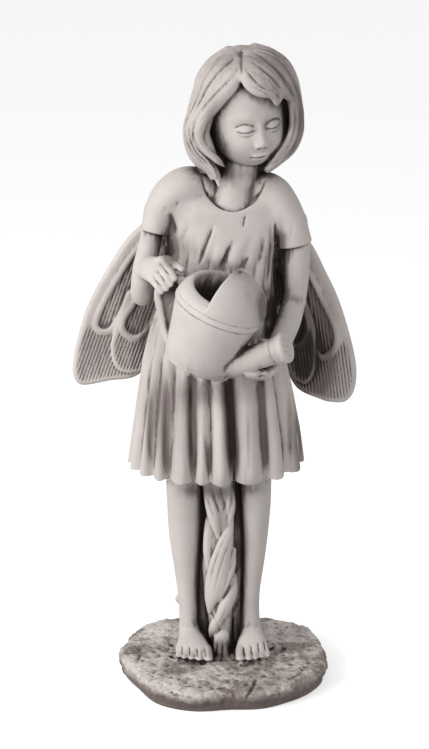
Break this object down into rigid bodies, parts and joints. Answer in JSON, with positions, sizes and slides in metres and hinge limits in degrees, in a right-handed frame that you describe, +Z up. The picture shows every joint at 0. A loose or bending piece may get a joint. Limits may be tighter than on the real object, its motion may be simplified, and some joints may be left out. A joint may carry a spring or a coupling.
{
  "type": "fairy garden statue",
  "caption": "Cast stone garden statue of a standing child fairy with wings, holding a tilted watering can, on a flat rocky base with a twisted leafy trunk between the legs.",
  "frame": {"origin": "centre of the flat underside of the base", "axes": "+Z up the figure, -Y towards the viewer the figure faces, +X to that viewer's right"},
  "size_m": [0.2781, 0.2379, 0.6205],
  "materials": {
    "cast_stone": "matte weathered cast stone with brown patina in the recesses"
  },
  "bodies": {
    "root": {"fairy_statue": "cast_stone"}
  },
  "joints": []
}
